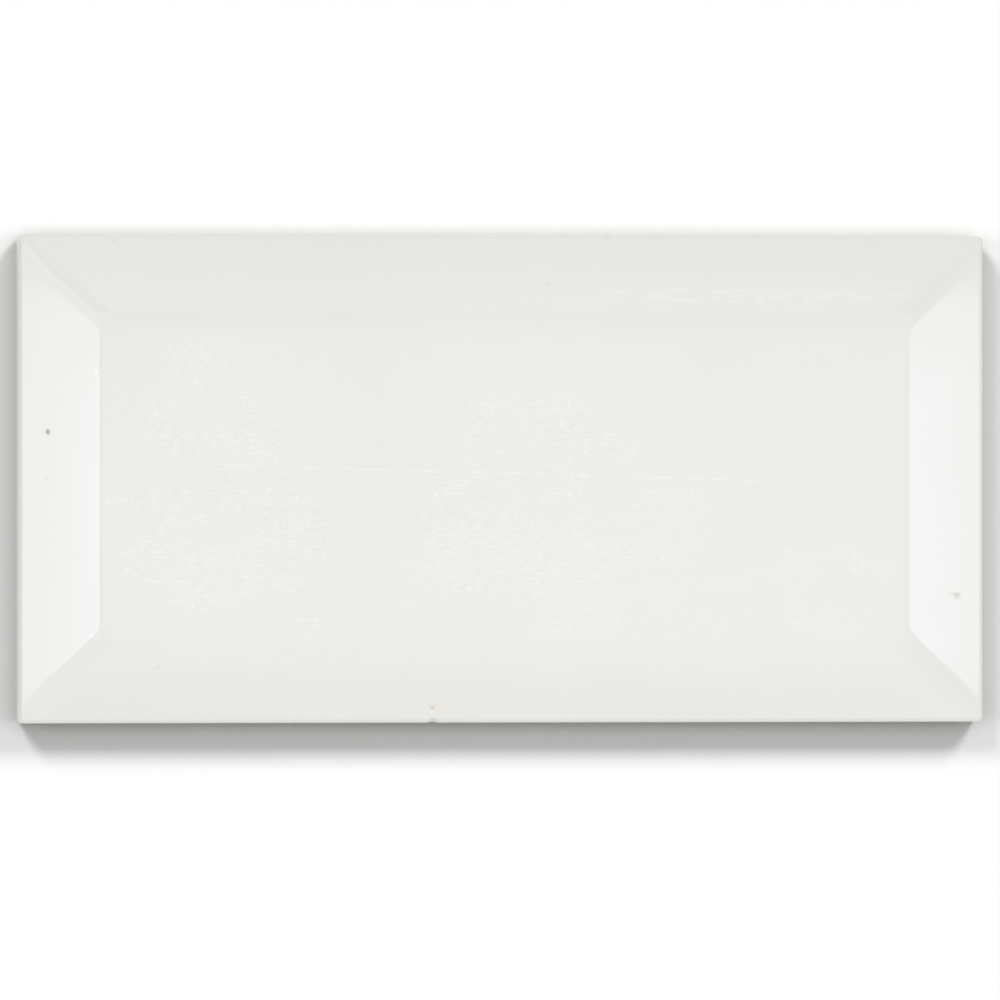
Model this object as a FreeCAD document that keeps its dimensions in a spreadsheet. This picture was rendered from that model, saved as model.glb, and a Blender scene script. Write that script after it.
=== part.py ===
"""Bevelled wall tile: one pressed and fired piece, lying face up on its back.

Millimetres. X runs along the tile's length, Y along its width, +Z out of the glazed face.
The origin is the centre of the back, on the plane that beds against the wall.
"""

import FreeCAD
import Part
import Sketcher
import math
import os

NODE = "tile"

# Driving dimensions: alias, value, meaning.
SIZES = [
    ("tile_length", 150.0, "overall length along X"),
    ("tile_width", 75.0, "overall width along Y"),
    ("face_thickness", 8.0, "thickness at the flat field"),
    ("edge_thickness", 5.0, "height of the line where the bevel plane meets the side plane"),
    ("bevel_run", 12.0, "width of the bevel in plan, from the side plane to the field"),
    ("crown_radius", 7.0, "rounding of the field's edges and of the hips between the bevels"),
    ("corner_radius", 1.2, "plan radius of the tile's four corners"),
    ("arris_radius", 0.9, "rounding of the rim between the side and the bevel"),
    ("arris_limit", 0.9, "share of the corner radius that the rim rounding may take up"),
    ("back_chamfer", 0.6, "chamfer round the back"),
    ("back_margin", 8.0, "plain border round the keying grooves"),
    ("groove_width", 5.0, "width of one keying groove"),
    ("groove_depth", 0.7, "depth of the keying grooves"),
    ("groove_count", 6, "number of keying grooves across the back"),
]

# Sizes that follow from the driving dimensions, as expressions.
BEVEL_RISE = "sizes.face_thickness - sizes.edge_thickness"
ARRIS = "min(sizes.arris_radius; sizes.arris_limit * sizes.corner_radius)"
GROOVE_LENGTH = "sizes.tile_length - 2 * sizes.back_margin"
GROOVE_SPAN = "sizes.tile_width - 2 * sizes.back_margin - sizes.groove_width"
FIRST_GROOVE = "sizes.tile_width / 2 - sizes.back_margin"

# The sketcher counts an edge's two ends up from 1, and a sketch's two axes down from -1.
START, END = range(1, 3)
HORIZONTAL_AXIS, VERTICAL_AXIS = range(-1, -3, -1)
ORIGIN = (HORIZONTAL_AXIS, START)

# Lengths closer than this are taken as equal.
TOLERANCE = 1e-4


def make_sheet(doc):
    """The spreadsheet of driving dimensions."""
    sheet = doc.addObject("Spreadsheet::Sheet", "sizes")
    for row, (alias, value, meaning) in enumerate(SIZES, start=1):
        sheet.set(f"A{row}", meaning)
        sheet.set(f"B{row}", str(value))
        sheet.setAlias(f"B{row}", alias)
    doc.recompute()
    return sheet


def origin_plane(body, role):
    """One of the body's own three base planes."""
    return next(feature for feature in body.Origin.OriginFeatures if feature.Role == role)


def new_sketch(body, name, role):
    """An empty sketch on one of the body's base planes."""
    sketch = body.newObject("Sketcher::SketchObject", name)
    sketch.AttachmentSupport = [(origin_plane(body, role), "")]
    sketch.MapMode = "FlatFace"
    return sketch


def constrain(sketch, *terms):
    """Adds a constraint that has no size."""
    sketch.addConstraint(Sketcher.Constraint(*terms))


def dimension(sketch, name, expression, *terms):
    """Adds a named dimension and binds it to an expression. The last term is its size as first drawn."""
    index = sketch.addConstraint(Sketcher.Constraint(*terms))
    sketch.renameConstraint(index, name)
    sketch.setExpression(f"Constraints.{name}", expression)


def draw_loop(sketch, corners):
    """A closed loop of straight lines through the corners."""
    points = [FreeCAD.Vector(x, y, 0) for x, y in corners]
    count = len(points)
    for number in range(count):
        sketch.addGeometry(Part.LineSegment(points[number], points[(number + 1) % count]))
    for number in range(count):
        constrain(sketch, "Coincident", number, END, (number + 1) % count, START)


def draw_outline(sketch):
    """The tile in plan: a rectangle centred on the origin, with four equal corner arcs."""
    # Sizes as first drawn, before the dimensions set them.
    half_x, half_y, radius = 40.0, 20.0, 5.0
    inner_x, inner_y = half_x - radius, half_y - radius
    sides = [
        ((-inner_x, -half_y), (inner_x, -half_y)),
        ((half_x, -inner_y), (half_x, inner_y)),
        ((inner_x, half_y), (-inner_x, half_y)),
        ((-half_x, inner_y), (-half_x, -inner_y)),
    ]
    centres = [(inner_x, -inner_y), (inner_x, inner_y), (-inner_x, inner_y), (-inner_x, -inner_y)]
    for start, end in sides:
        sketch.addGeometry(Part.LineSegment(FreeCAD.Vector(*start, 0), FreeCAD.Vector(*end, 0)))
    upright = FreeCAD.Vector(0, 0, 1)
    for number, centre in enumerate(centres):
        circle = Part.Circle(FreeCAD.Vector(*centre, 0), upright, radius)
        first_angle = (number - 1) * math.pi / 2
        sketch.addGeometry(Part.ArcOfCircle(circle, first_angle, first_angle + math.pi / 2))

    bottom, right, top, left = range(4)
    arcs = range(4, 8)
    for side, arc in enumerate(arcs):
        constrain(sketch, "Tangent", side, END, arc, START)
        constrain(sketch, "Tangent", arc, END, (side + 1) % 4, START)
    constrain(sketch, "Horizontal", bottom)
    constrain(sketch, "Horizontal", top)
    constrain(sketch, "Vertical", right)
    constrain(sketch, "Vertical", left)
    for arc in arcs[1:]:
        constrain(sketch, "Equal", arcs[0], arc)
    constrain(sketch, "Symmetric", bottom, START, top, START, *ORIGIN)
    dimension(sketch, "along", "sizes.tile_length", "DistanceX", left, START, right, START, 2 * half_x)
    dimension(sketch, "across", "sizes.tile_width", "DistanceY", bottom, START, top, START, 2 * half_y)
    dimension(sketch, "corner", "sizes.corner_radius", "Radius", arcs[0], radius)


def draw_bevel_section(sketch, overall):
    """The triangle above a bevel, in section: the field's edge, the rim, and the corner of the full block."""
    # Sizes as first drawn, before the dimensions set them.
    inner, outer, low, high = 20.0, 30.0, 4.0, 7.0
    draw_loop(sketch, [(inner, high), (outer, low), (outer, high)])
    side, top = 1, 2
    constrain(sketch, "Vertical", side)
    constrain(sketch, "Horizontal", top)
    dimension(sketch, "reach", f"{overall} / 2", "DistanceX", *ORIGIN, top, START, outer)
    dimension(sketch, "height", "sizes.face_thickness", "DistanceY", *ORIGIN, top, START, high)
    dimension(sketch, "run", "sizes.bevel_run", "DistanceX", top, END, top, START, outer - inner)
    dimension(sketch, "rise", BEVEL_RISE, "DistanceY", side, START, side, END, high - low)


def draw_groove(sketch):
    """The keying groove nearest the -Y side: a rectangle with its middle on the vertical axis."""
    # Sizes as first drawn, before the dimensions set them.
    half_x, low, high = 40.0, -30.0, -25.0
    draw_loop(sketch, [(-half_x, low), (half_x, low), (half_x, high), (-half_x, high)])
    bottom, right, top, left = range(4)
    constrain(sketch, "Symmetric", bottom, START, bottom, END, VERTICAL_AXIS)
    constrain(sketch, "Horizontal", top)
    constrain(sketch, "Vertical", right)
    constrain(sketch, "Vertical", left)
    dimension(sketch, "along", GROOVE_LENGTH, "DistanceX", bottom, START, bottom, END, 2 * half_x)
    dimension(sketch, "across", "sizes.groove_width", "DistanceY", right, START, right, END, high - low)
    dimension(sketch, "first", FIRST_GROOVE, "DistanceY", bottom, START, *ORIGIN, -low)


def edges_where(feature, test):
    """Names of a feature's edges whose bounding boxes pass a test."""
    edges = enumerate(feature.Shape.Edges, start=1)
    return [f"Edge{number}" for number, edge in edges if test(edge.BoundBox)]


def add_block(body):
    """The full block, as thick as the field, with rounded corners in plan."""
    outline = new_sketch(body, "outline", "XY_Plane")
    draw_outline(outline)
    block = body.newObject("PartDesign::Pad", "block")
    block.Profile = outline
    block.setExpression("Length", "sizes.face_thickness")
    body.Document.recompute()


def add_bevel_pair(body, name, section_plane, mirror_plane, overall):
    """The bevels on two opposite sides: one is cut right through along its side, and mirrored."""
    section = new_sketch(body, f"{name}_section", section_plane)
    draw_bevel_section(section, overall)
    bevel = body.newObject("PartDesign::Pocket", f"{name}_bevel")
    bevel.Profile = section
    bevel.Type = "ThroughAll"
    bevel.SideType = "Symmetric"
    body.Document.recompute()

    pair = body.newObject("PartDesign::Mirrored", f"{name}_bevels")
    pair.Originals = [bevel]
    pair.MirrorPlane = (origin_plane(body, mirror_plane), [""])
    body.Tip = pair
    body.Document.recompute()


def treat_edges(body, kind, name, size_name, size, test):
    """A fillet or a chamfer on those edges of the body so far that pass a test."""
    base = body.Tip
    treatment = body.newObject(kind, name)
    treatment.Base = (base, edges_where(base, test))
    treatment.setExpression(size_name, size)
    body.Document.recompute()


def add_edge_treatments(body, sheet):
    """The rounded crown and rim of the face, and the chamfer round the back."""

    def is_crown(box):
        return box.ZMax > sheet.face_thickness - TOLERANCE

    def is_rim(box):
        return box.ZMin > TOLERANCE and box.ZMax < sheet.edge_thickness + TOLERANCE

    def is_back(box):
        return box.ZMax < TOLERANCE

    treat_edges(body, "PartDesign::Fillet", "crown", "Radius", "sizes.crown_radius", is_crown)
    treat_edges(body, "PartDesign::Fillet", "arris", "Radius", ARRIS, is_rim)
    treat_edges(body, "PartDesign::Chamfer", "back_edge", "Size", "sizes.back_chamfer", is_back)


def add_keying_grooves(body):
    """Shallow grooves along the back, which the adhesive bed keys into."""
    section = new_sketch(body, "groove_outline", "XY_Plane")
    draw_groove(section)
    groove = body.newObject("PartDesign::Pocket", "groove")
    groove.Profile = section
    groove.Reversed = True
    groove.setExpression("Length", "sizes.groove_depth")
    body.Document.recompute()

    grooves = body.newObject("PartDesign::LinearPattern", "grooves")
    grooves.Originals = [groove]
    grooves.Direction = (section, ["V_Axis"])
    grooves.setExpression("Length", GROOVE_SPAN)
    grooves.setExpression("Occurrences", "sizes.groove_count")
    body.Tip = grooves
    body.Document.recompute()


def check(doc, body):
    """Stops the build if an object failed or the solid isn't sound."""
    failed = [o.Name for o in doc.Objects if "Invalid" in o.State or "Error" in o.State]
    if failed:
        raise RuntimeError(f"failed objects: {failed}")
    if body.Shape.isNull() or not body.Shape.isValid() or len(body.Shape.Solids) != 1:
        raise RuntimeError(f"{body.Label} is not one valid solid")


def main():
    doc = FreeCAD.newDocument("wall_tile")
    sheet = make_sheet(doc)
    body = doc.addObject("PartDesign::Body", NODE)
    body.Label = NODE
    add_block(body)
    add_bevel_pair(body, "side", "YZ_Plane", "XZ_Plane", "sizes.tile_width")
    add_bevel_pair(body, "end", "XZ_Plane", "YZ_Plane", "sizes.tile_length")
    add_edge_treatments(body, sheet)
    add_keying_grooves(body)
    body.Placement = FreeCAD.Placement()
    doc.recompute()
    check(doc, body)
    os.makedirs("parts", exist_ok=True)
    body.Shape.exportStep(f"parts/{body.Label}.step")
    box = body.Shape.BoundBox
    sides = f"{box.XLength:.2f} x {box.YLength:.2f} x {box.ZLength:.2f} mm"
    print(f"{body.Label}: {sides}, {body.Shape.Volume:.0f} mm3, {len(body.Shape.Faces)} faces")


main()
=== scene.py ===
import math

import bmesh
import bpy
from mathutils import Euler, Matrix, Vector, noise


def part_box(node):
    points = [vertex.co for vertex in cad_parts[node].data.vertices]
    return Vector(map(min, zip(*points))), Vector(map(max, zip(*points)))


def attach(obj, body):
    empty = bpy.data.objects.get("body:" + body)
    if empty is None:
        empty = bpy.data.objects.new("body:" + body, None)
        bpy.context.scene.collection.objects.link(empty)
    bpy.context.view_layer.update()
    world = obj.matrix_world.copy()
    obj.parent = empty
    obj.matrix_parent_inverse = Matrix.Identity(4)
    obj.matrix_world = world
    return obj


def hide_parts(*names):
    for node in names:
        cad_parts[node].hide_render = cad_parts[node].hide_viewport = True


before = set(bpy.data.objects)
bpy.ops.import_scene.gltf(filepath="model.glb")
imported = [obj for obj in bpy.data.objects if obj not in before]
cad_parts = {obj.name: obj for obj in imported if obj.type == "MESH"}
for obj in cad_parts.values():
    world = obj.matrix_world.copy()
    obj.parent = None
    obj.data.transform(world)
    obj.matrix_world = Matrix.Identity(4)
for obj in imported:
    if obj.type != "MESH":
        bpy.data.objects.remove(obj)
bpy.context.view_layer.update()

MM = 0.001

# Material slots of the tile's mesh.
GLAZE, BISCUIT = range(2)

# The tile's section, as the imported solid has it.
LOW, HIGH = (Vector(corner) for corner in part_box("tile"))
HALF_LENGTH = (HIGH.x - LOW.x) / 2
HALF_WIDTH = (HIGH.y - LOW.y) / 2
FACE_HEIGHT = HIGH.z
EDGE_HEIGHT = 5.0 * MM
BEVEL_RUN = 12.0 * MM
CROWN_RADIUS = 7.0 * MM
ARRIS_RADIUS = 0.9 * MM
BACK_CHAMFER = 0.6 * MM
BEVEL_SLOPE = math.atan2(FACE_HEIGHT - EDGE_HEIGHT, BEVEL_RUN)

# Plan radius of the corners against the distance in from the outline:
# crisp outside, softer over the bevels.
CORNER_RADII = (
    (0.0, 0.75 * MM),
    (1.5 * MM, 2.0 * MM),
    (4.0 * MM, 2.5 * MM),
    (10.5 * MM, 2.2 * MM),
    (13.0 * MM, 3.0 * MM),
)

# Keying grooves pressed into the back.
GROOVE_COUNT = 6
GROOVE_WIDTH = 5.0 * MM
GROOVE_DEPTH = 0.7 * MM
GROOVE_PITCH = 10.8 * MM
GROOVE_HALF_LENGTH = 67.0 * MM
GROOVE_CORNER = 1.2 * MM
GROOVE_LIP = 0.15 * MM
GROOVE_DRAFT = 0.25 * MM

# The lower edge of the glaze on the sides, above the bare biscuit, and the glaze's thickness there.
GLAZE_LINE = 1.7 * MM
GLAZE_LINE_SWING = 0.5 * MM
GLAZE_STEP = 0.14 * MM
# Its slow and quick swings: length, share of the swing and layer of the noise.
GLAZE_LINE_WAVES = ((19.0 * MM, 0.80, 4.0), (5.0 * MM, 0.35, 9.0))

# Slow undulation of the fired glaze, on the face from just under the edge height up.
WAVE_LENGTH = 13.0 * MM
WAVE_DEPTH = 0.004 * MM
WAVE_LAYER = 2.0
WAVE_START = (EDGE_HEIGHT - 0.4 * MM, EDGE_HEIGHT + 0.5 * MM)

# Marks on the glaze, in millimetres on the face: place, half sizes along and across, and turn in degrees.
# The pinhole's dark core is painted shade of its small pit.
PINHOLE = ((-70.55, 7.20), (0.50, 0.60), 0.0)
GREEN_SPECK = ((70.70, -18.05), (0.95, 0.66), -20.0)
GREEN_TAIL = ((69.90, -17.65), (1.25, 0.40), -8.0)
IRON_SPOT = ((-11.00, -35.17), (0.75, 0.52), 0.0)
IRON_STAIN = ((-10.90, -35.75), (1.40, 1.40), 0.0)
BLISTER = ((-11.10, -35.90), (0.34, 0.30), 0.0)
GREY_DOTS = (
    ((-53.7, -28.8), (0.55, 0.50), 0.0),
    ((-60.3, 36.6), (0.40, 0.50), 0.0),
    ((16.3, 36.9), (0.52, 0.40), 0.0),
    ((-11.3, -13.4), (0.34, 0.40), 0.0),
    ((6.9, 29.9), (0.50, 0.50), 0.0),
    ((-70.7, 0.1), (0.42, 0.42), 0.0),
    ((-4.1, -14.0), (0.32, 0.38), 0.0),
)
# Painted highlights: pale glints on tiny bumps of the crown, painted into the glaze's colour.
PAINTED_GLINTS = (
    ((-63.9, -24.1), (0.62, 0.62), 0.0),
    ((-63.3, 16.4), (0.42, 0.60), 0.0),
)

# Dents that marks leave: depth, and the shares of the half sizes between which it fades.
# The blister stands up.
DENTS = (
    (PINHOLE, 0.10 * MM, 0.1, 0.9),
    (IRON_SPOT, 0.04 * MM, 0.1, 1.0),
    (GREEN_SPECK, 0.03 * MM, 0.1, 1.0),
    (BLISTER, -0.03 * MM, 0.0, 1.2),
)

# The chip in the lower rim, as a mark, with its middle height and half height in millimetres.
# It fades between two shares of its half sizes, and ends below between two heights.
EDGE_CHIP = ((-10.85, -37.35), (1.10, 0.85), 0.0)
CHIP_HEIGHT = (4.9, 1.3)
CHIP_FADE = (0.25, 1.0)
CHIP_FOOT = (EDGE_HEIGHT - 1.6 * MM, EDGE_HEIGHT - 0.9 * MM)
CHIP_GRAIN = 0.35 * MM
CHIP_RAGGEDNESS = 0.25
CHIP_INWARD = 0.09 * MM
CHIP_DOWNWARD = 0.08 * MM

# Faint pale streaks, the band of dashes on the top bevel and the areas of fine scuffing,
# as marks with a strength each.
STREAKS = (
    (((-0.3, 0.9), (66.0, 0.32), -1.6), 0.75),
    (((-9.0, -13.8), (55.0, 0.50), -2.1), 0.40),
)
PALE_BAND = (((36.0, 28.3), (31.0, 1.50), 0.0), 0.50)
SCUFFED_AREAS = (
    (((-43.0, -2.5), (22.0, 25.0), 0.0), 1.0),
    (((8.0, -4.0), (29.0, 23.0), 0.0), 0.95),
    (((48.0, -15.8), (17.0, 4.5), 0.0), 0.60),
)

# Mesh density, with closer rings, columns and rows at the marks that have relief.
LINE_SPACING = 1.25 * MM
RING_SPACING = 0.75 * MM
CORNER_STEPS = 5
RUN_STEPS = 12
ARRIS_STEPS = 8
CROWN_STEPS = 8
FIELD_MARGIN = 2.0 * MM
FIELD_LEAD = 0.4 * MM
FINE_SPACING = 0.12 * MM
CHIP_SPAN = 1.0 * MM
SPECK_SPAN = 0.7 * MM
# Closer rings at the iron spot, and at the pinhole and the green speck:
# inset of the middle, half span and spacing.
RING_SPOTS = ((1.65 * MM, 0.85 * MM, 0.14 * MM), (4.55 * MM, 0.85 * MM, 0.12 * MM))


def smooth(low, high, value):
    """0 below low, 1 above high and an eased step between them."""
    share = min(1.0, max(0.0, (value - low) / (high - low)))
    return share * share * (3 - 2 * share)


def along_table(table, place):
    """The value at a place in a table of (place, value) pairs, in straight runs between them."""
    if place <= table[0][0]:
        return table[0][1]
    for (start, low), (end, high) in zip(table, table[1:]):
        if place <= end:
            return low + (high - low) * (place - start) / (end - start)
    return table[-1][1]


def lines(start, end, spacing, spots):
    """Even places from start to end, with closer ones around each (centre, half span, spacing) spot."""
    count = max(2, round((end - start) / spacing))
    places = [start + (end - start) * i / count for i in range(count + 1)]
    for centre, span, fine in spots:
        steps = max(2, round(2 * span / fine))
        places = [p for p in places if abs(p - centre) > span + fine / 2 or p in (start, end)]
        places += [centre - span + 2 * span * i / steps for i in range(steps + 1)]
    return sorted(places)


def arc(centre, radius, start, end, steps):
    """(inset, height) points of an arc, between two tilts of its normal from the vertical."""
    points = []
    for i in range(steps + 1):
        tilt = start + (end - start) * i / steps
        points.append((centre[0] - radius * math.sin(tilt), centre[1] + radius * math.cos(tilt)))
    return points


def face_section():
    """(inset, height) points of the glazed section from the top of the side to the flat field."""
    slope = math.tan(BEVEL_SLOPE)
    arris_height = EDGE_HEIGHT + ARRIS_RADIUS * slope - ARRIS_RADIUS / math.cos(BEVEL_SLOPE)
    arris = arc((ARRIS_RADIUS, arris_height), ARRIS_RADIUS, math.pi / 2, BEVEL_SLOPE, ARRIS_STEPS)
    crown_inset = BEVEL_RUN + CROWN_RADIUS * math.tan(BEVEL_SLOPE / 2)
    crown = arc((crown_inset, FACE_HEIGHT - CROWN_RADIUS), CROWN_RADIUS, BEVEL_SLOPE, 0.0, CROWN_STEPS)
    insets = lines(arris[-1][0], crown[0][0], RING_SPACING, RING_SPOTS)[1:-1]
    bevel = [(inset, EDGE_HEIGHT + inset * slope) for inset in insets]
    return arris + bevel + crown + [(crown_inset + FIELD_LEAD, FACE_HEIGHT)]


def side_section():
    """The sides from the back up: inset, height, share of the glaze line added to the height, and finish.

    The glaze ends in a rounded bead along its line, proud of the bare biscuit.
    """
    top = face_section()[0][1]
    return (
        (BACK_CHAMFER, 0.0, 0.0, BISCUIT),
        (BACK_CHAMFER * 0.55 + GLAZE_STEP * 0.6, BACK_CHAMFER * 0.30, 0.0, BISCUIT),
        (BACK_CHAMFER * 0.18 + GLAZE_STEP, BACK_CHAMFER * 0.75, 0.0, BISCUIT),
        (GLAZE_STEP, BACK_CHAMFER * 1.15, 0.0, BISCUIT),
        (GLAZE_STEP, BACK_CHAMFER * 0.5, 0.5, BISCUIT),
        (GLAZE_STEP, -0.20 * MM, 1.0, BISCUIT),
        (GLAZE_STEP * 0.8, -0.11 * MM, 1.0, GLAZE),
        (GLAZE_STEP * 0.38, -0.03 * MM, 1.0, GLAZE),
        (GLAZE_STEP * 0.12, 0.10 * MM, 1.0, GLAZE),
        (0.0, 0.32 * MM, 1.0, GLAZE),
        (0.0, top * 0.5 + 0.16 * MM, 0.5, GLAZE),
        (0.0, top, 0.0, GLAZE),
    )


def side_run(half, inset, corner, commons):
    """(place along one side, drop in from it) for a ring, from the middle of one corner to the next."""
    straight = half - inset - corner
    start = []
    for i in range(CORNER_STEPS + 1):
        turn = math.radians(45) * (1 - i / CORNER_STEPS)
        start.append((-straight - corner * math.sin(turn), corner * (1 - math.cos(turn))))
    for i in range(1, RUN_STEPS):
        start.append((-straight + (commons[0] + straight) * i / RUN_STEPS, 0.0))
    end = [(-place, drop) for place, drop in reversed(start)]
    return start + [(place, 0.0) for place in commons] + end


def ring_points(inset, corner, columns, rows):
    """Plan points of a ring at an inset from the outline, anticlockwise from the lower left corner."""
    across = side_run(HALF_LENGTH, inset, corner, columns)
    up = side_run(HALF_WIDTH, inset, corner, rows)
    lower = [(place, -HALF_WIDTH + inset + drop) for place, drop in across]
    right = [(HALF_LENGTH - inset - drop, place) for place, drop in up]
    upper = [(place, HALF_WIDTH - inset - drop) for place, drop in reversed(across)]
    left = [(-HALF_LENGTH + inset + drop, place) for place, drop in reversed(up)]
    return lower[:-1] + right[:-1] + upper[:-1] + left[:-1]


def glaze_line(x, y):
    """Height of the glaze's lower edge at a point of the outline: a slow swing with a few runs."""
    swing = 0.0
    for length, share, layer in GLAZE_LINE_WAVES:
        swing += share * noise.noise(Vector((x / length, y / length, layer)))
    return GLAZE_LINE + GLAZE_LINE_SWING * swing


def nearness(mark, x, y):
    """Distance from a mark's middle, as a share of its half sizes."""
    (middle_x, middle_y), (half_x, half_y), turn = mark
    angle = math.radians(turn)
    dx = x / MM - middle_x
    dy = y / MM - middle_y
    along = dx * math.cos(angle) + dy * math.sin(angle)
    across = dy * math.cos(angle) - dx * math.sin(angle)
    return math.hypot(along / half_x, across / half_y)


def chipped(x, y, z):
    """How far the chip in the lower rim has broken the glaze away at a point, from 0 to 1."""
    ragged = CHIP_RAGGEDNESS * noise.noise(Vector((x, y, z)) / CHIP_GRAIN)
    share = 1 - smooth(*CHIP_FADE, nearness(EDGE_CHIP, x, y) + ragged)
    return share * smooth(*CHIP_FOOT, z)


def relief(x, y, z):
    """A point of the glaze after firing: slow waves, the dents of the marks and the chip in the rim."""
    wave = 0.5 + 0.5 * noise.noise(Vector((x / WAVE_LENGTH, y / WAVE_LENGTH, WAVE_LAYER)))
    drop = WAVE_DEPTH * wave * smooth(*WAVE_START, z)
    for mark, depth, inner, outer in DENTS:
        drop += depth * (1 - smooth(inner, outer, nearness(mark, x, y)))
    chip = chipped(x, y, z)
    return x, y + CHIP_INWARD * chip, z - drop - CHIP_DOWNWARD * chip


def bridge(mesh, outer, inner, finish):
    """A band of quads between two rings with the same number of points."""
    for i in range(len(outer)):
        j = (i + 1) % len(outer)
        face = mesh.faces.new((outer[i], outer[j], inner[j], inner[i]))
        face.smooth = True
        face.material_index = finish


def add_sides(mesh, columns, rows):
    """The sides from the back to the arris; gives the first ring, on the back, and the last."""
    rings = []
    for inset, height, share, finish in side_section():
        corner = along_table(CORNER_RADII, inset)
        ring = []
        for x, y in ring_points(inset, corner, columns, rows):
            ring.append(mesh.verts.new(relief(x, y, height + share * glaze_line(x, y))))
        if rings:
            bridge(mesh, rings[-1], ring, finish)
        rings.append(ring)
    return rings[0], rings[-1]


def add_face(mesh, ring, columns, rows):
    """The arris, the mitred bevels, the crown and the flat field, from the last ring of the sides."""
    for inset, height in face_section()[1:]:
        corner = along_table(CORNER_RADII, inset)
        plan = ring_points(inset, corner, columns, rows)
        inner = [mesh.verts.new(relief(x, y, height)) for x, y in plan]
        bridge(mesh, ring, inner, GLAZE)
        ring = inner
    across = [place for place, _ in side_run(HALF_LENGTH, inset, corner, columns)]
    up = [place for place, _ in side_run(HALF_WIDTH, inset, corner, rows)]
    wide, tall = len(across) - 1, len(up) - 1
    grid = {}
    for i in range(wide):
        grid[i, 0] = ring[i]
        grid[wide - i, tall] = ring[wide + tall + i]
    for j in range(tall):
        grid[wide, j] = ring[wide + j]
        grid[0, tall - j] = ring[2 * wide + tall + j]
    for i in range(1, wide):
        for j in range(1, tall):
            grid[i, j] = mesh.verts.new(relief(across[i], up[j], FACE_HEIGHT))
    for i in range(wide):
        for j in range(tall):
            face = mesh.faces.new((grid[i, j], grid[i + 1, j], grid[i + 1, j + 1], grid[i, j + 1]))
            face.smooth = True


def groove_loop(middle, grow, height):
    """Points of a groove's outline, clockwise from above, grown on all sides and at a height."""
    half_x = GROOVE_HALF_LENGTH + grow
    half_y = GROOVE_WIDTH / 2 + grow
    corner = GROOVE_CORNER + grow
    points = []
    for quarter in range(4):
        side_x = 1 if quarter in (0, 1) else -1
        side_y = 1 if quarter in (0, 3) else -1
        for i in range(CORNER_STEPS + 1):
            turn = math.radians(90) * (1 - quarter - i / CORNER_STEPS)
            x = side_x * (half_x - corner) + corner * math.cos(turn)
            y = middle + side_y * (half_y - corner) + corner * math.sin(turn)
            points.append(Vector((x, y, height)))
    return points


def add_groove(mesh, middle):
    """One keying groove with a soft lip and drafted walls; gives its outer loop on the back."""
    section = (
        (GROOVE_LIP, 0.0),
        (GROOVE_LIP * 0.35, GROOVE_LIP * 0.25),
        (0.0, GROOVE_LIP),
        (-GROOVE_DRAFT * 0.7, GROOVE_DEPTH - GROOVE_DRAFT),
        (-GROOVE_DRAFT, GROOVE_DEPTH - GROOVE_DRAFT * 0.35),
        (-GROOVE_DRAFT * 2, GROOVE_DEPTH),
    )
    loops = []
    for grow, height in section:
        loops.append([mesh.verts.new(point) for point in groove_loop(middle, grow, height)])
    for outer, inner in zip(loops, loops[1:]):
        bridge(mesh, outer, inner, BISCUIT)
    floor = mesh.faces.new(loops[-1])
    floor.material_index = BISCUIT
    return loops[0]


def loop_edges(mesh, loop):
    """The edges between neighbouring points of a closed loop."""
    return [mesh.edges.get((a, b)) for a, b in zip(loop, loop[1:] + loop[:1])]


def add_back(mesh, rim):
    """The flat back between the rim and the grooves."""
    edges = loop_edges(mesh, rim)
    for i in range(GROOVE_COUNT):
        middle = (i - (GROOVE_COUNT - 1) / 2) * GROOVE_PITCH
        edges += loop_edges(mesh, add_groove(mesh, middle))
    filled = bmesh.ops.triangle_fill(mesh, edges=edges, use_beauty=True, normal=(0, 0, -1))
    for item in filled["geom"]:
        if isinstance(item, bmesh.types.BMFace):
            item.material_index = BISCUIT
            item.smooth = False


def make_tile():
    """The fired tile as one closed mesh: glazed face and sides, bare lower sides and back."""
    inner = face_section()[-1][0] + CORNER_RADII[-1][1] + FIELD_MARGIN
    column_spots = ((EDGE_CHIP[0][0] * MM, CHIP_SPAN, FINE_SPACING),)
    row_spots = [(mark[0][1] * MM, SPECK_SPAN, FINE_SPACING) for mark in (PINHOLE, GREEN_SPECK)]
    columns = lines(inner - HALF_LENGTH, HALF_LENGTH - inner, LINE_SPACING, column_spots)
    rows = lines(inner - HALF_WIDTH, HALF_WIDTH - inner, LINE_SPACING, row_spots)
    mesh = bmesh.new()
    rim, shoulder = add_sides(mesh, columns, rows)
    add_face(mesh, shoulder, columns, rows)
    add_back(mesh, rim)
    data = bpy.data.meshes.new("glazed_tile")
    mesh.to_mesh(data)
    mesh.free()
    tile = bpy.data.objects.new("glazed_tile", data)
    bpy.context.collection.objects.link(tile)
    return tile


def add_node(tree, kind, **settings):
    """A node with some of its settings."""
    node = tree.nodes.new(kind)
    for name, value in settings.items():
        setattr(node, name, value)
    return node


def feed(tree, socket, value):
    """Links a socket, or sets it to a plain value."""
    if isinstance(value, bpy.types.NodeSocket):
        tree.links.new(value, socket)
    elif hasattr(value, "__len__") and len(value) == 3 and socket.type == "RGBA":
        socket.default_value = (*value, 1.0)
    else:
        socket.default_value = value


def surface_place(tree):
    """The point on the tile, in metres in the part's frame."""
    return add_node(tree, "ShaderNodeTexCoord").outputs["Object"]


def stretch(tree, vector, scale):
    """A vector scaled along each axis."""
    node = add_node(tree, "ShaderNodeVectorMath", operation="MULTIPLY")
    feed(tree, node.inputs[0], vector)
    node.inputs[1].default_value = scale
    return node.outputs[0]


def grain(tree, vector, size, detail=2.0, rough=0.5):
    """Noise from 0 to 1 with features of a size in metres."""
    node = add_node(tree, "ShaderNodeTexNoise")
    feed(tree, node.inputs["Vector"], vector)
    node.inputs["Scale"].default_value = 1 / size
    node.inputs["Detail"].default_value = detail
    node.inputs["Roughness"].default_value = rough
    return node.outputs[0]


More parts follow.
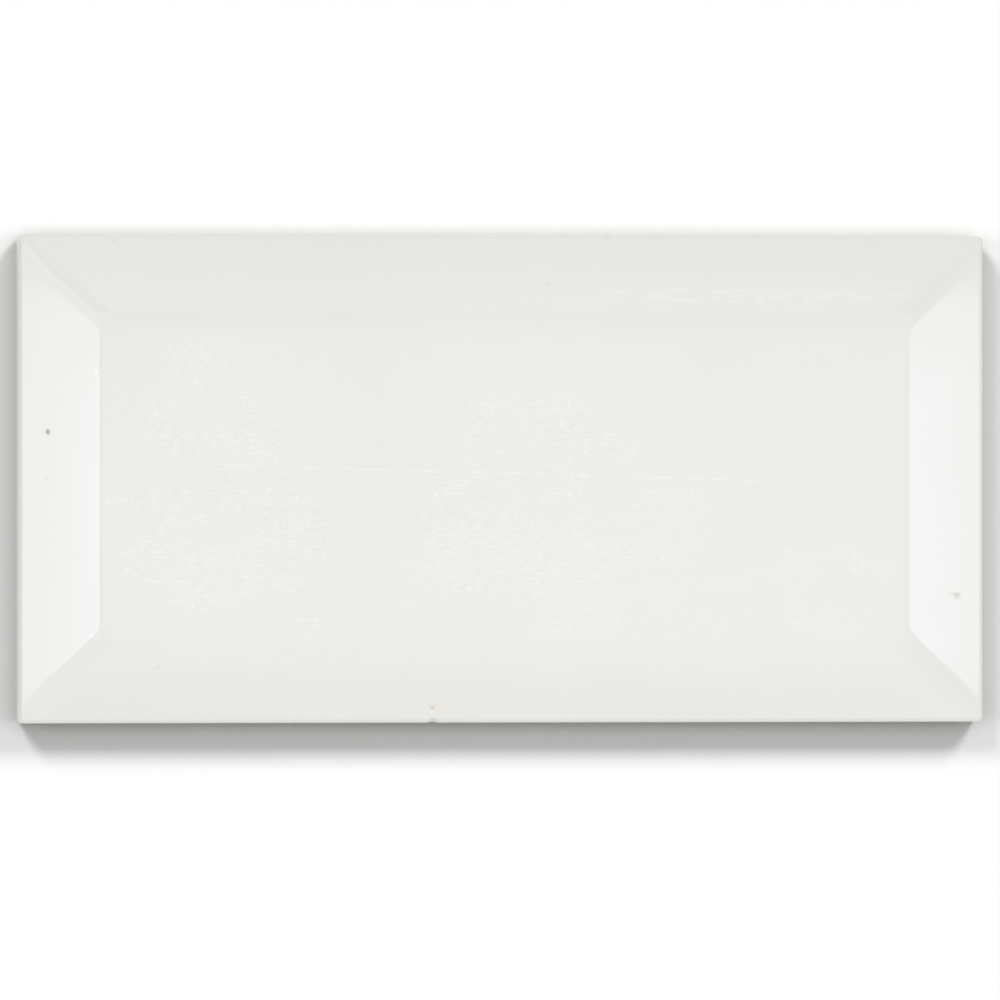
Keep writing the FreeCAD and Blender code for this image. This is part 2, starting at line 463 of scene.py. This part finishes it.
def warp(tree, vector, size, reach):
    """A vector pushed to and fro by noise with features of a size, over a reach, both in metres."""
    swing = add_node(tree, "ShaderNodeTexNoise")
    feed(tree, swing.inputs["Vector"], vector)
    swing.inputs["Scale"].default_value = 1 / size
    push = add_node(tree, "ShaderNodeVectorMath", operation="MULTIPLY_ADD")
    feed(tree, push.inputs[0], swing.outputs["Color"])
    push.inputs[1].default_value = (reach,) * 3
    push.inputs[2].default_value = (-reach / 2,) * 3
    pushed = add_node(tree, "ShaderNodeVectorMath", operation="ADD")
    feed(tree, pushed.inputs[0], vector)
    feed(tree, pushed.inputs[1], push.outputs[0])
    return pushed.outputs[0]


def remap(tree, value, low, high, start=0.0, end=1.0):
    """An eased step of a value between low and high, from start to end."""
    node = add_node(tree, "ShaderNodeMapRange", interpolation_type="SMOOTHSTEP")
    feed(tree, node.inputs["Value"], value)
    for name, number in (("From Min", low), ("From Max", high), ("To Min", start), ("To Max", end)):
        node.inputs[name].default_value = number
    return node.outputs[0]


def combine(tree, operation, first, second):
    """A math node on two values."""
    node = add_node(tree, "ShaderNodeMath", operation=operation)
    feed(tree, node.inputs[0], first)
    feed(tree, node.inputs[1], second)
    return node.outputs[0]


def tint(tree, share, base, colour):
    """A colour mixed over another by a share."""
    node = add_node(tree, "ShaderNodeMix", data_type="RGBA")
    feed(tree, node.inputs["Factor"], share)
    feed(tree, node.inputs["A"], base)
    feed(tree, node.inputs["B"], colour)
    return node.outputs["Result"]


def add_bump(tree, shader, height, depth, strength=1.0):
    """Fine relief of a depth in metres on a shader."""
    node = add_node(tree, "ShaderNodeBump")
    node.inputs["Strength"].default_value = strength
    node.inputs["Distance"].default_value = depth
    feed(tree, node.inputs["Height"], height)
    feed(tree, shader.inputs["Normal"], node.outputs[0])


def mark_share(tree, place, mark, edge, strength, height=None):
    """How much of a mark shows at a place: its strength, fading out from a share of its half sizes.

    With a height, given as its middle and half size in millimetres, the mark also ends above and below.
    """
    (x, y), (half_x, half_y), turn = mark
    z, half_z = height or (0.0, 1.0)
    node = add_node(tree, "ShaderNodeMapping", vector_type="TEXTURE")
    feed(tree, node.inputs["Vector"], place)
    node.inputs["Location"].default_value = (x * MM, y * MM, z * MM)
    node.inputs["Rotation"].default_value = (0.0, 0.0, math.radians(turn))
    node.inputs["Scale"].default_value = (half_x * MM, half_y * MM, half_z * MM)
    length = add_node(tree, "ShaderNodeVectorMath", operation="LENGTH")
    flat = stretch(tree, node.outputs[0], (1.0, 1.0, 1.0 if height else 0.0))
    feed(tree, length.inputs[0], flat)
    return remap(tree, length.outputs["Value"], edge, 1.0, strength, 0.0)


def most_of(tree, place, marks, edge):
    """The strongest share at a place of some marks with a strength each."""
    share = 0.0
    for mark, strength in marks:
        share = combine(tree, "MAXIMUM", share, mark_share(tree, place, mark, edge, strength))
    return share


def new_material(name):
    """A material with its node tree and its one shader."""
    material = bpy.data.materials.new(name)
    material.use_nodes = True
    tree = material.node_tree
    return material, tree, tree.nodes["Principled BSDF"]


def patches(tree, place, pattern, start=0.0, end=1.0):
    """A pattern of noise at a place, from start to end.

    A pattern is a size, detail and roughness, and the two values of the noise between which it shows.
    """
    size, detail, rough, (low, high) = pattern
    return remap(tree, grain(tree, place, size, detail, rough), low, high, start, end)


# Patterns of strokes, each after the scale along the three axes that stretches it.
DASHES = ((0.35, 1.0, 1.0), (0.42 * MM, 3.0, 0.6, (0.46, 0.64)))
FLECKS = ((0.60, 1.0, 1.5), (0.62 * MM, 2.0, 0.5, (0.60, 0.72)))
LAYERS = ((0.30, 1.0, 1.0), (5.0 * MM, 4.0, 0.6, (0.30, 0.56)))
BREAKS = ((0.25, 1.0, 1.0), (0.80 * MM, 3.0, 0.6, (0.45, 0.62)))
DASH_STRENGTH = 0.6
# The outlines of the scuffed areas swing over a size and reach.
SCUFF_SWING = (11.0 * MM, 34.0 * MM)
# Shares of their half sizes from which the areas and the streaks fade.
SCUFF_EDGE = 0.6
STREAK_EDGE = 0.5


def strokes(tree, place, stretched, strength=1.0):
    """How much of a stretched pattern shows at a place."""
    scale, pattern = stretched
    return patches(tree, stretch(tree, place, scale), pattern, 0.0, strength)


def scuffed_share(tree, place):
    """How much the fine pale scuffs and streaks show at a place."""
    dashes = strokes(tree, place, DASHES, DASH_STRENGTH)
    dashes = combine(tree, "MAXIMUM", dashes, strokes(tree, place, FLECKS))
    layered = combine(tree, "MULTIPLY", dashes, strokes(tree, place, LAYERS))
    area = most_of(tree, warp(tree, place, *SCUFF_SWING), SCUFFED_AREAS, SCUFF_EDGE)
    scuffs = combine(tree, "MULTIPLY", layered, area)
    line = most_of(tree, place, (*STREAKS, PALE_BAND), STREAK_EDGE)
    streaks = combine(tree, "MULTIPLY", line, strokes(tree, place, BREAKS))
    return combine(tree, "MAXIMUM", scuffs, streaks)


# Colours are linear.
GLAZE_COLOUR = (0.818, 0.811, 0.766)
GLAZE_MOTTLE_COLOUR = (0.823, 0.817, 0.773)
SCUFF_COLOUR = (0.884, 0.880, 0.846)
CHIP_COLOUR = (0.660, 0.635, 0.555)
GREY_DOT_COLOUR = (0.725, 0.722, 0.680)
PAINTED_GLINT_COLOUR = (0.880, 0.880, 0.860)
# Marks that show as colour: share of the half sizes from which each fades, strength and colour.
COLOURED_MARKS = (
    (IRON_STAIN, 0.4, 0.90, (0.822, 0.796, 0.722)),
    (GREEN_TAIL, 0.1, 0.50, (0.700, 0.710, 0.600)),
    (GREEN_SPECK, 0.1, 0.80, (0.640, 0.645, 0.555)),
    (IRON_SPOT, 0.1, 1.00, (0.680, 0.650, 0.570)),
    (BLISTER, 0.2, 1.00, (0.880, 0.870, 0.800)),
    # The pinhole's dark core is painted shade.
    (PINHOLE, 0.1, 1.00, (0.410, 0.413, 0.385)),
    *((dot, 0.1, 0.70, GREY_DOT_COLOUR) for dot in GREY_DOTS),
    # The pale glints are painted highlights.
    *((dot, 0.1, 0.90, PAINTED_GLINT_COLOUR) for dot in PAINTED_GLINTS),
)
CHIP_EDGE, CHIP_STRENGTH = 0.1, 0.90
# The marks' outlines swing over a size and reach.
MARK_SWING = (0.35 * MM, 0.10 * MM)
# Patterns of the glaze's shade and gloss, and its fine ripple.
MOTTLE = (22.0 * MM, 3.0, 0.5, (0.35, 0.65))
GLOSS = (6.0 * MM, 3.0, 0.5, (0.3, 0.7))
GLOSS_ROUGHNESS = (0.045, 0.060)
RIPPLE_SIZE = 2.6 * MM
RIPPLE_DEPTH = 0.0012 * MM


def glaze_material():
    """Off-white gloss glaze with faint mottling, scuffs and the marks that the tile has, with painted
    glints and the pinhole's painted shade.
    """
    material, tree, shader = new_material("gloss_glaze")
    place = surface_place(tree)
    colour = tint(tree, patches(tree, place, MOTTLE), GLAZE_COLOUR, GLAZE_MOTTLE_COLOUR)
    colour = tint(tree, scuffed_share(tree, place), colour, SCUFF_COLOUR)
    rough_place = warp(tree, place, *MARK_SWING)
    for mark, edge, strength, shade in COLOURED_MARKS:
        colour = tint(tree, mark_share(tree, rough_place, mark, edge, strength), colour, shade)
    chip = mark_share(tree, rough_place, EDGE_CHIP, CHIP_EDGE, CHIP_STRENGTH, CHIP_HEIGHT)
    feed(tree, shader.inputs["Base Color"], tint(tree, chip, colour, CHIP_COLOUR))
    feed(tree, shader.inputs["Roughness"], patches(tree, place, GLOSS, *GLOSS_ROUGHNESS))
    add_bump(tree, shader, grain(tree, place, RIPPLE_SIZE), RIPPLE_DEPTH)
    return material


BISCUIT_COLOUR = (0.720, 0.640, 0.520)
BISCUIT_DARK_COLOUR = (0.640, 0.560, 0.440)
BISCUIT_PALE_COLOUR = (0.800, 0.740, 0.640)
# Painted shade in the pores.
PORE_SHADE_COLOUR = (0.300, 0.250, 0.190)
CLOUDS = (14.0 * MM, 4.0, 0.6, (0.35, 0.68))
SPECKLE = (0.45 * MM, 3.0, 0.7, (0.40, 0.75))
SPECKLE_STRENGTH = 0.5
PORE_SPACING = 1.6 * MM
PORE_STRENGTH = 0.55
# Distances from a pore's middle, as shares of the spacing, between which it fades.
PORE_FADE = (0.06, 0.14)
BISCUIT_ROUGHNESS = (0.80, 0.92)
# The grain's size, detail and roughness as noise.
BISCUIT_GRAIN = (0.6 * MM, 4.0, 0.65)
BISCUIT_GRAIN_DEPTH = 0.06 * MM
BISCUIT_GRAIN_STRENGTH = 0.7


def biscuit_material():
    """Bare cream biscuit with clouds, grain and pores; the pores' dark colour is painted shade."""
    material, tree, shader = new_material("bare_biscuit")
    place = surface_place(tree)
    cloud = patches(tree, place, CLOUDS)
    colour = tint(tree, cloud, BISCUIT_COLOUR, BISCUIT_DARK_COLOUR)
    speckle = patches(tree, place, SPECKLE, 0.0, SPECKLE_STRENGTH)
    colour = tint(tree, speckle, colour, BISCUIT_PALE_COLOUR)
    pores = add_node(tree, "ShaderNodeTexVoronoi")
    feed(tree, pores.inputs["Vector"], place)
    pores.inputs["Scale"].default_value = 1 / PORE_SPACING
    pore_share = remap(tree, pores.outputs["Distance"], *PORE_FADE, PORE_STRENGTH, 0.0)
    # The pores' dark colour is painted shade in their dents.
    feed(tree, shader.inputs["Base Color"], tint(tree, pore_share, colour, PORE_SHADE_COLOUR))
    feed(tree, shader.inputs["Roughness"], remap(tree, cloud, 0.0, 1.0, *BISCUIT_ROUGHNESS))
    rough = combine(tree, "SUBTRACT", grain(tree, place, *BISCUIT_GRAIN), pore_share)
    add_bump(tree, shader, rough, BISCUIT_GRAIN_DEPTH, BISCUIT_GRAIN_STRENGTH)
    return material


FLOOR_COLOUR = (0.60, 0.60, 0.60)
FLOOR_ROUGHNESS = 0.9
FLOOR_HALF = 4.0
FLOOR_SEGMENTS = 8
FLOOR_GAP = 0.02 * MM
# Painted shade: the floor's colour darkens by a share right beside the tile, where little light gets in.
# The lean, in degrees, makes that painted shade stronger on the picture's lower side.
CONTACT_SHADE = 0.22
PAINTED_SHADE_COLOUR = (0.0, 0.0, 0.0)
CONTACT_LEAN = 7.0
CONTACT_REACH = 4.0 * MM
CONTACT_SAMPLES = 8
# How open the floor is where that shade is full and where it ends.
CONTACT_OPENNESS = (0.45, 1.0)


def painted_contact_shade(tree):
    """How much painted shade the floor's colour takes from the tile close by."""
    nearby = add_node(tree, "ShaderNodeAmbientOcclusion", samples=CONTACT_SAMPLES)
    nearby.inputs["Distance"].default_value = CONTACT_REACH
    leaning = add_node(tree, "ShaderNodeCombineXYZ")
    leaning.inputs["Y"].default_value = math.sin(math.radians(CONTACT_LEAN))
    leaning.inputs["Z"].default_value = math.cos(math.radians(CONTACT_LEAN))
    feed(tree, nearby.inputs["Normal"], leaning.outputs[0])
    return remap(tree, nearby.outputs["AO"], *CONTACT_OPENNESS, CONTACT_SHADE, 0.0)


def make_floor():
    """A plain pale floor just under the tile, with painted shade in its colour beside the tile."""
    mesh = bmesh.new()
    bmesh.ops.create_grid(mesh, x_segments=FLOOR_SEGMENTS, y_segments=FLOOR_SEGMENTS, size=FLOOR_HALF)
    data = bpy.data.meshes.new("floor")
    mesh.to_mesh(data)
    mesh.free()
    floor = bpy.data.objects.new("floor", data)
    floor.location = (0.0, 0.0, -FLOOR_GAP)
    bpy.context.collection.objects.link(floor)
    material, tree, shader = new_material("white_floor")
    # The floor's colour takes painted shade beside the tile, darker where the tile is close.
    colour = tint(tree, painted_contact_shade(tree), FLOOR_COLOUR, PAINTED_SHADE_COLOUR)
    feed(tree, shader.inputs["Base Color"], colour)
    shader.inputs["Roughness"].default_value = FLOOR_ROUGHNESS
    shader.inputs["Specular IOR Level"].default_value = 0.0
    data.materials.append(material)
    return floor


WHITE = (1.0, 1.0, 1.0)
DAYLIGHT = (0.65, 0.80, 1.60)
# Strength of the surroundings as a light. To the camera and in reflections they are white.
WORLD_LEVEL = 0.40


def light_world():
    """Even white surroundings: white to the camera and in reflections, dimmer as a light."""
    world = bpy.data.worlds.new("studio")
    bpy.context.scene.world = world
    world.use_nodes = True
    tree = world.node_tree
    path = add_node(tree, "ShaderNodeLightPath")
    seen = combine(tree, "MAXIMUM", path.outputs["Is Camera Ray"], path.outputs["Is Glossy Ray"])
    seen = combine(tree, "MAXIMUM", seen, path.outputs["Is Transmission Ray"])
    background = tree.nodes["Background"]
    feed(tree, background.inputs["Color"], WHITE)
    feed(tree, background.inputs["Strength"], remap(tree, seen, 0.0, 1.0, WORLD_LEVEL, 1.0))


def link_light(lamp, name, receiver):
    """Makes a lamp light one object only."""
    group = bpy.data.collections.new(name)
    group.objects.link(receiver)
    lamp.light_linking.receiver_collection = group


# Softboxes over the tile: height, x range and y range in metres, radiance and colour.
# No two that overlap share a height.
SOFTBOXES = {
    "ceiling": (0.62, (-0.90, 0.90), (-0.80, 0.78), 0.187, WHITE),
    "overhead": (0.504, (-0.022, 0.162), (-0.36, 0.3055), 0.48, WHITE),
    "overhead_core": (0.50, (-0.022, 0.162), (-0.2985, 0.0295), 0.80, WHITE),
    "overhead_end": (0.496, (-0.022, 0.162), (-0.2985, -0.15), 0.12, WHITE),
    "top": (0.520, (-0.155, 0.345), (0.10, 0.80), 0.06, WHITE),
    "top_far": (0.516, (-0.155, 0.345), (0.21, 0.80), 0.10, WHITE),
    "left": (0.512, (-0.36, -0.10), (-0.14, 0.14), 1.15, WHITE),
    "left_main": (0.508, (-0.36, -0.10), (-0.044, 0.036), 1.40, WHITE),
    "left_core": (0.504, (-0.2685, -0.10), (-0.044, 0.036), 0.30, WHITE),
    "left_window": (0.50, (-0.2625, -0.10), (-0.042, 0.0214), 0.85, DAYLIGHT),
    "right": (0.512, (0.28, 0.62), (-0.14, 0.14), 0.45, WHITE),
    "right_main": (0.508, (0.28, 0.62), (-0.041, 0.038), 1.95, WHITE),
    "right_window": (0.50, (0.28, 0.4525), (-0.040, 0.0225), 1.00, DAYLIGHT),
    "bottom": (0.508, (-0.155, 0.345), (-0.70, -0.2985), 0.31, WHITE),
    "crown_left": (0.504, (-0.10, -0.022), (-0.14, 0.14), 0.90, WHITE),
    "crown_right": (0.504, (0.162, 0.28), (-0.14, 0.14), 0.90, WHITE),
    "lower_left": (0.504, (-0.30, -0.022), (-0.34, -0.14), 0.98, WHITE),
    "lower_right": (0.504, (0.162, 0.50), (-0.34, -0.14), 0.76, WHITE),
}


def light_tile(tile):
    """Soft boxes above and to all sides, which the gloss of the bevels reflects."""
    for name, (height, (left, right), (near, far), radiance, colour) in SOFTBOXES.items():
        data = bpy.data.lights.new(name, "AREA")
        data.shape = "RECTANGLE"
        data.size = right - left
        data.size_y = far - near
        data.energy = radiance * math.pi * data.size * data.size_y
        data.color = colour
        lamp = bpy.data.objects.new(name, data)
        lamp.location = ((left + right) / 2, (near + far) / 2, height)
        lamp.visible_camera = False
        bpy.context.collection.objects.link(lamp)
        link_light(lamp, name + "_on_tile", tile)


def add_sun(name, energy, elevation, azimuth, spread):
    """A distant light; its azimuth counts from the top of the picture, and all angles are in degrees."""
    data = bpy.data.lights.new(name, "SUN")
    data.energy = energy
    data.angle = math.radians(spread)
    lamp = bpy.data.objects.new(name, data)
    lamp.rotation_euler = Euler((math.radians(elevation - 90), 0.0, math.radians(azimuth)))
    bpy.context.collection.objects.link(lamp)
    return lamp


# A low light from the top of the picture on the tile's far edge:
# elevation, azimuth, share of white and spread, with the angles in degrees.
EDGE_LIGHT = (6.0, 0.0, 0.155, 12.0)


def light_edge(tile):
    """A low soft light on the tile's far arris, without a highlight of its own."""
    elevation, azimuth, share, spread = EDGE_LIGHT
    lamp = add_sun("edge_light", share * math.pi, elevation, azimuth, spread)
    lamp.visible_glossy = False
    link_light(lamp, "edge_light_on_tile", tile)


# Lights on the floor in the same form. With the surroundings their shares make an open floor white.
FLOOR_LIGHTS = {
    "floor_light_left": (35.0, 36.0, 0.275, 18.0),
    "floor_light_right": (35.0, -36.0, 0.275, 18.0),
    "floor_light_far_left": (38.0, 90.0, 0.105, 30.0),
    "floor_light_far_right": (38.0, -90.0, 0.105, 30.0),
}


def light_floor(floor):
    """Broad soft lights on the floor, mostly from the top of the picture, for the tile's shadow."""
    for name, (elevation, azimuth, share, spread) in FLOOR_LIGHTS.items():
        energy = share * math.pi / (FLOOR_COLOUR[0] * math.sin(math.radians(elevation)))
        lamp = add_sun(name, energy, elevation, azimuth, spread)
        link_light(lamp, name + "_on_floor", floor)


# The tilt is in degrees, the distance in metres and the sensor in millimetres.
CAMERA_TILT = 8.0
CAMERA_DISTANCE = 2.5
SENSOR_WIDTH = 36.0
PIXELS_PER_MM = 6.50
IMAGE_PIXELS = 1000
CAMERA_AIM = (-0.55 * MM, -3.23 * MM, 6.0 * MM)


def place_camera():
    """Looks down on the face, a little from the left, with a long lens."""
    data = bpy.data.cameras.new("camera")
    data.sensor_width = SENSOR_WIDTH
    data.lens = data.sensor_width * CAMERA_DISTANCE / (IMAGE_PIXELS / PIXELS_PER_MM * MM)
    camera = bpy.data.objects.new("camera", data)
    tilt = math.radians(CAMERA_TILT)
    back = Vector((-math.sin(tilt), 0.0, math.cos(tilt)))
    camera.location = Vector(CAMERA_AIM) + back * CAMERA_DISTANCE
    camera.rotation_euler = Euler((0.0, -tilt, 0.0))
    bpy.context.collection.objects.link(camera)
    bpy.context.scene.camera = camera


bpy.context.scene.view_settings.view_transform = "Standard"
tile = make_tile()
tile.data.materials.append(glaze_material())
tile.data.materials.append(biscuit_material())
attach(tile, "root")
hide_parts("tile")
floor = make_floor()
light_world()
light_tile(tile)
light_edge(tile)
light_floor(floor)
place_camera()
